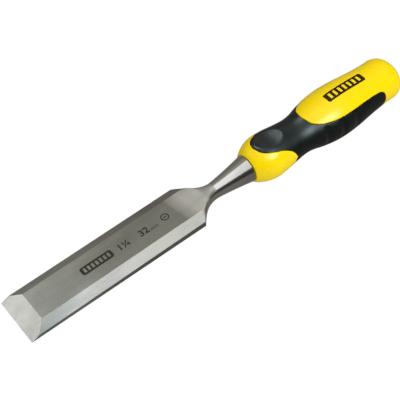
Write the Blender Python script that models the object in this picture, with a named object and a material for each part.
"""A 32 mm bevel-edge bench chisel: a forged blade, a hard moulded handle and a soft grip.

Sizes are in metres. +X runs from the cutting edge towards the butt and +Z is up. The flat back
of the blade lies in the plane Z = 0, and the origin is the middle of that flat back. Distances
named "from the edge" are measured along X from the cutting edge.
"""

import math

import bmesh
import bpy
import numpy as np
from mathutils import Vector

# Blade
BLADE_WIDTH = 0.032
BLADE_LENGTH = 0.1107
TOP_FLAT_WIDTH = 0.020
BLADE_THICKNESS = 0.00436
SIDE_HEIGHT = 0.00195
BLADE_TAPER = 0.0138
CUTTING_ANGLE = math.radians(23.0)

# Shoulder, neck, bolster and tang, all one forging with the blade
NECK_AXIS_HEIGHT = 0.0018
AXIS_RISE = 0.0128
SHOULDER_LENGTH = 0.0175
SHOULDER_HOLLOW = 1.9
NECK_RADIUS = 0.00485
BOLSTER_LENGTH = 0.0243
BOLSTER_RADIUS = 0.0082
BOLSTER_FLARE = 1.25
TANG_LENGTH = 0.070
TANG_RADIUS = 0.0045
TANG_TIP_RADIUS = 0.0028

# Handle: its lip around the bolster, and (distance behind its front face, mean radius) at the
# stations that shape the rest
FRONT_LIP = 0.0007
HANDLE_STATIONS = (
    (0.0022, 0.0106),
    (0.0070, 0.01285),
    (0.0130, 0.01395),
    (0.0200, 0.01355),
    (0.0280, 0.0125),
    (0.0350, 0.0119),
    (0.0410, 0.0124),
    (0.0480, 0.0142),
    (0.0560, 0.0156),
    (0.0640, 0.0161),
    (0.0740, 0.01565),
    (0.0860, 0.0144),
    (0.0970, 0.01365),
    (0.1035, 0.0136),
)
BUTT_LENGTH = 0.0097
BUTT_ROUNDNESS = 2.3
OVAL_WIDTH = 1.04
OVAL_HEIGHT = 0.93
OVAL_BLEND = 0.010

# Soft grip: its front and rear edges over one quarter turn, from the top to the side of the
# handle, as (distance behind the handle's front face, angle from the top in degrees)
GRIP_THICKNESS = 0.0020
GRIP_FRONT_EDGE = (
    (0.0056, 0),
    (0.0070, 20),
    (0.0098, 31),
    (0.0150, 41.5),
    (0.0180, 46),
    (0.0222, 56.5),
    (0.0252, 71),
    (0.0270, 90),
)
GRIP_REAR_EDGE = (
    (0.0409, 0),
    (0.0425, 28),
    (0.0455, 42),
    (0.0500, 51),
    (0.0577, 57),
    (0.0685, 58.5),
    (0.0800, 59),
    (0.0880, 61),
    (0.0927, 65),
    (0.0946, 76),
    (0.0949, 90),
)
THUMB_CENTRE = 0.0160
THUMB_LENGTH = 0.0170
THUMB_WIDTH = 0.0136
THUMB_DEPTH = 0.0009

# Fits
MOULDING_GAP = 0.0003

# Mesh density
BLADE_SEGMENTS = (6, 3, 3, 6, 3, 3)
SHOULDER_STEPS = 9
BOLSTER_STEPS = 6
TANG_STEPS = 3
QUARTER_COLUMNS = 13
EDGE_CROWDING = 2.1
BUTT_LEANING = 0.7
FRONT_STEPS = 5
GRIP_STEPS = 13
REAR_STEPS = 7
BUTT_STEPS = 6
SMOOTH_ANGLE = math.radians(18.0)

# Distances from the edge that follow from the sizes above
NECK_START = BLADE_LENGTH + SHOULDER_LENGTH
BOLSTER_END = NECK_START + BOLSTER_LENGTH
HANDLE_START = BOLSTER_END + MOULDING_GAP


def clear_scene():
    for item in list(bpy.context.scene.objects):
        bpy.data.objects.remove(item, do_unlink=True)


def make_material(name, colour, roughness, metallic):
    material = bpy.data.materials.new(name)
    material.use_nodes = True
    shader = material.node_tree.nodes["Principled BSDF"]
    shader.inputs["Base Color"].default_value = (*colour, 1.0)
    shader.inputs["Roughness"].default_value = roughness
    shader.inputs["Metallic"].default_value = metallic
    return material


def blend(start, end, share):
    return start + (end - start) * share


def smooth_step(share):
    share = min(max(share, 0.0), 1.0)
    return share * share * (3.0 - 2.0 * share)


def axis_height(x):
    """Height of the line that the neck, the bolster, the tang and the handle are centred on."""
    return NECK_AXIS_HEIGHT + AXIS_RISE * (x - NECK_START)


def join_rings(mesh, rings, wrap=False):
    """Skins a list of rings of points with quads; wrap also joins the last ring to the first."""
    rows = [[mesh.verts.new(point) for point in ring] for ring in rings]
    pairs = list(zip(rows, rows[1:]))
    if wrap:
        pairs.append((rows[-1], rows[0]))
    for row, following in pairs:
        count = len(row)
        for i in range(count):
            j = (i + 1) % count
            mesh.faces.new((row[i], row[j], following[j], following[i]))
    return rows


def add_piece(name, mesh, material, parent):
    bmesh.ops.recalc_face_normals(mesh, faces=mesh.faces)
    data = bpy.data.meshes.new(name)
    mesh.to_mesh(data)
    mesh.free()
    data.shade_smooth()
    data.set_sharp_from_angle(angle=SMOOTH_ANGLE)
    data.materials.append(material)
    piece = bpy.data.objects.new(name, data)
    piece.parent = parent
    bpy.context.collection.objects.link(piece)
    return piece


# ---------------------------------------------------------------- blade


def blade_corners(x, half_width):
    """The six corners of the blade's section, from the back's -Y corner round to the -Y side."""
    thickness = BLADE_THICKNESS + BLADE_TAPER * x
    side = SIDE_HEIGHT + BLADE_TAPER * x
    half_flat = min(TOP_FLAT_WIDTH / 2, half_width)
    cut = (BLADE_WIDTH / 2 - half_width) / (BLADE_WIDTH / 2 - TOP_FLAT_WIDTH / 2)
    side_top = min(blend(side, thickness, cut), thickness)
    return (
        Vector((x, -half_width, 0.0)),
        Vector((x, half_width, 0.0)),
        Vector((x, half_width, side_top)),
        Vector((x, half_flat, thickness)),
        Vector((x, -half_flat, thickness)),
        Vector((x, -half_width, side_top)),
    )


def blade_ring(x, half_width):
    """The section's corners with points spaced along the sides between them."""
    corners = blade_corners(x, half_width)
    ring = []
    for i, segments in enumerate(BLADE_SEGMENTS):
        following = corners[(i + 1) % len(corners)]
        ring += [corners[i].lerp(following, k / segments) for k in range(segments)]
    return ring


def round_ring(x, half_width, half_height):
    """An oval ring whose points match the blade ring's, corner for corner."""
    count = sum(BLADE_SEGMENTS)
    first = math.radians(-135.0)
    angles = [first + 2 * math.pi * k / count for k in range(count)]
    return [
        Vector((x, half_width * math.cos(a), axis_height(x) + half_height * math.sin(a)))
        for a in angles
    ]


def shoulder_ring(share):
    """One ring between the blade's section (share 0) and the round neck (share 1)."""
    x = BLADE_LENGTH + SHOULDER_LENGTH * share
    narrowing = (1.0 - share) ** SHOULDER_HOLLOW
    half_width = blend(NECK_RADIUS, BLADE_WIDTH / 2, narrowing)
    flat = blade_ring(x, half_width)
    full = round_ring(x, half_width, NECK_RADIUS)
    roundness = smooth_step(share)
    return [a.lerp(b, roundness) for a, b in zip(flat, full)]


def make_blade(parent):
    mesh = bmesh.new()
    rings = [blade_ring(-BLADE_THICKNESS, BLADE_WIDTH / 2)]
    rings += [shoulder_ring(k / SHOULDER_STEPS) for k in range(SHOULDER_STEPS + 1)]
    for k in range(1, BOLSTER_STEPS + 1):
        share = k / BOLSTER_STEPS
        radius = blend(NECK_RADIUS, BOLSTER_RADIUS, share**BOLSTER_FLARE)
        rings.append(round_ring(NECK_START + BOLSTER_LENGTH * share, radius, radius))
    for k in range(TANG_STEPS + 1):
        share = k / TANG_STEPS
        radius = blend(TANG_RADIUS, TANG_TIP_RADIUS, share)
        rings.append(round_ring(BOLSTER_END + TANG_LENGTH * share, radius, radius))
    rows = join_rings(mesh, rings)
    mesh.faces.new(rows[0])
    mesh.faces.new(rows[-1])
    grind_cutting_bevel(mesh)
    steel = make_material("ground_steel", (0.52, 0.51, 0.48), 0.32, 1.0)
    return add_piece("blade", mesh, steel, parent)


def grind_cutting_bevel(mesh):
    """Takes off all that lies above the plane through the cutting edge."""
    normal = Vector((-math.sin(CUTTING_ANGLE), 0.0, math.cos(CUTTING_ANGLE)))
    everything = mesh.verts[:] + mesh.edges[:] + mesh.faces[:]
    cut = bmesh.ops.bisect_plane(
        mesh, geom=everything, plane_co=Vector(), plane_no=normal, clear_outer=True, dist=1e-7
    )
    rim = [e for e in cut["geom_cut"] if isinstance(e, bmesh.types.BMEdge)]
    bmesh.ops.edgeloop_fill(mesh, edges=rim)


# ---------------------------------------------------------------- handle


def smooth_path(knots, count, crowding=1.0):
    """Points along a smooth curve through the knots (uniform Catmull-Rom), evenly spaced, or
    closer together towards its end where the crowding is above 1."""
    points = [np.array(k, dtype=float) for k in knots]
    before = 2 * points[0] - points[1]
    after = 2 * points[-1] - points[-2]
    chain = [before, *points, after]
    dense = []
    for p0, p1, p2, p3 in zip(chain, chain[1:], chain[2:], chain[3:]):
        for t in np.linspace(0.0, 1.0, 24, endpoint=False):
            slope_in = (p2 - p0) / 2
            slope_out = (p3 - p1) / 2
            h1 = 2 * t**3 - 3 * t**2 + 1
            h2 = t**3 - 2 * t**2 + t
            h3 = t**3 - t**2
            dense.append(h1 * p1 + h2 * slope_in + (1 - h1) * p2 + h3 * slope_out)
    dense.append(points[-1])
    dense = np.array(dense)
    steps = np.linalg.norm(np.diff(dense, axis=0), axis=1)
    length = np.concatenate([[0.0], np.cumsum(steps)])
    wanted = length[-1] * (1.0 - np.linspace(1.0, 0.0, count) ** crowding)
    return np.column_stack([np.interp(wanted, length, dense[:, i]) for i in range(2)])


PROFILE = smooth_path(((0.0, BOLSTER_RADIUS + FRONT_LIP), *HANDLE_STATIONS), 400)
BUTT_START = HANDLE_STATIONS[-1][0]
BUTT_RADIUS = HANDLE_STATIONS[-1][1]
MEAN_RADIUS = float(np.mean(PROFILE[:, 1]))


def handle_radius(distance):
    """The handle's mean radius at a distance behind its front face."""
    if distance <= BUTT_START:
        return float(np.interp(distance, PROFILE[:, 0], PROFILE[:, 1]))
    share = min((distance - BUTT_START) / BUTT_LENGTH, 1.0)
    return BUTT_RADIUS * (1.0 - share**BUTT_ROUNDNESS) ** (1.0 / BUTT_ROUNDNESS)


def thumb_hollow(distance, angle):
    """Depth of the hollow for the thumb, on the top and the bottom of the grip."""
    across = math.asin(math.sin(angle)) * MEAN_RADIUS
    along = distance - THUMB_CENTRE
    reach = (2 * along / THUMB_LENGTH) ** 2 + (2 * across / THUMB_WIDTH) ** 2
    return THUMB_DEPTH * (1.0 - smooth_step(reach))


def handle_point(distance, angle, radius, oval):
    """A point of the handle, round (oval 0) or oval (1); the angle runs from the top towards -Y."""
    x = HANDLE_START + distance
    across = radius * blend(1.0, OVAL_WIDTH, oval)
    upright = radius * blend(1.0, OVAL_HEIGHT, oval)
    return Vector((x, -across * math.sin(angle), axis_height(x) + upright * math.cos(angle)))


def skin_ring(places, inset=0.0, hollow=False):
    """A ring on the handle's surface, inset below it, through (distance, angle) places."""
    ring = []
    for distance, angle in places:
        radius = handle_radius(distance) - inset
        if hollow:
            radius -= thumb_hollow(distance, angle)
        ring.append(handle_point(distance, angle, radius, smooth_step(distance / OVAL_BLEND)))
    return ring


def full_turn(edge_knots, crowding=1.0):
    """Places all round the handle, from an edge that is given over one quarter turn."""
    scaled = [(distance, math.radians(angle) * MEAN_RADIUS) for distance, angle in edge_knots]
    quarter = smooth_path(scaled, QUARTER_COLUMNS + 1, crowding)
    quarter[:, 1] /= MEAN_RADIUS
    down = [(d, a) for d, a in quarter[:-1]]
    under = [(d, math.pi - a) for d, a in quarter[:0:-1]]
    back = [(d, math.pi + a) for d, a in quarter[:-1]]
    up = [(d, 2 * math.pi - a) for d, a in quarter[:0:-1]]
    return np.array(down + under + back + up)


def level_turn(distance):
    """Places all round the handle at one distance."""
    count = 4 * QUARTER_COLUMNS
    return np.array([(distance, 2 * math.pi * k / count) for k in range(count)])


def butt_turn(distance, edge):
    """Places at one distance whose angles lean towards those of the edge that they run on from."""
    places = level_turn(distance)
    places[:, 1] = blend(places[:, 1], edge[:, 1], BUTT_LEANING)
    return places


def moved_sideways(places, offset):
    """The edge moved along the surface, square to itself, towards the butt by the offset."""
    turn = np.array([0.0, 2 * math.pi])
    ahead = np.vstack([places[1:], places[:1] + turn])
    behind = np.vstack([places[-1:] - turn, places[:-1]])
    along = (ahead - behind) * np.array([1.0, MEAN_RADIUS])
    length = np.linalg.norm(along, axis=1)
    return places + offset * np.column_stack(
        [along[:, 1] / length, -along[:, 0] / length / MEAN_RADIUS]
    )


def between(first, last, steps):
    """The sets of places from the first edge to the last, both included."""
    return [blend(first, last, k / steps) for k in range(steps + 1)]


def socket_rings():
    """The round socket that the tang sits in, from its blind end to its mouth."""
    rings = []
    for k in range(TANG_STEPS + 1):
        share = 1.0 - k / TANG_STEPS
        depth = share * (TANG_LENGTH + MOULDING_GAP)
        radius = blend(TANG_RADIUS, TANG_TIP_RADIUS, share) + MOULDING_GAP
        rings.append([handle_point(d, angle, radius, 0.0) for d, angle in level_turn(depth)])
    return rings


def make_handle_body(parent):
    front_edge = moved_sideways(full_turn(GRIP_FRONT_EDGE, EDGE_CROWDING), -MOULDING_GAP)
    rear_edge = moved_sideways(full_turn(GRIP_REAR_EDGE), MOULDING_GAP)
    recess = GRIP_THICKNESS + MOULDING_GAP
    rings = socket_rings()
    rings += [skin_ring(p) for p in between(level_turn(0.0), front_edge, FRONT_STEPS)]
    rings += [skin_ring(p, recess) for p in between(front_edge, rear_edge, GRIP_STEPS)]
    rear_places = between(rear_edge, butt_turn(BUTT_START, rear_edge), REAR_STEPS)
    rings += [skin_ring(p) for p in rear_places]
    for k in range(1, BUTT_STEPS + 1):
        share = math.sin(math.pi / 2 * k / (BUTT_STEPS + 1))
        rings.append(skin_ring(butt_turn(BUTT_START + BUTT_LENGTH * share, rear_edge)))
    mesh = bmesh.new()
    rows = join_rings(mesh, rings)
    mesh.faces.new(rows[0])
    crown = mesh.faces.new(rows[-1])
    middle = bmesh.ops.poke(mesh, faces=[crown])["verts"][0]
    middle.co.x = HANDLE_START + BUTT_START + BUTT_LENGTH
    yellow = make_material("yellow_plastic", (0.95, 0.70, 0.01), 0.25, 0.0)
    return add_piece("handle_body", mesh, yellow, parent)


def make_soft_grip(parent):
    mesh = bmesh.new()
    front_edge = full_turn(GRIP_FRONT_EDGE, EDGE_CROWDING)
    places = between(front_edge, full_turn(GRIP_REAR_EDGE), GRIP_STEPS)
    inner = [skin_ring(p, GRIP_THICKNESS) for p in places]
    outer = [skin_ring(p, hollow=True) for p in reversed(places)]
    join_rings(mesh, inner + outer, wrap=True)
    black = make_material("black_rubber", (0.022, 0.024, 0.026), 0.55, 0.0)
    return add_piece("soft_grip", mesh, black, parent)


def main():
    clear_scene()
    chisel = bpy.data.objects.new("chisel", None)
    chisel.location = (-BLADE_LENGTH / 2, 0.0, 0.0)
    bpy.context.collection.objects.link(chisel)
    make_blade(chisel)
    make_handle_body(chisel)
    make_soft_grip(chisel)


main()
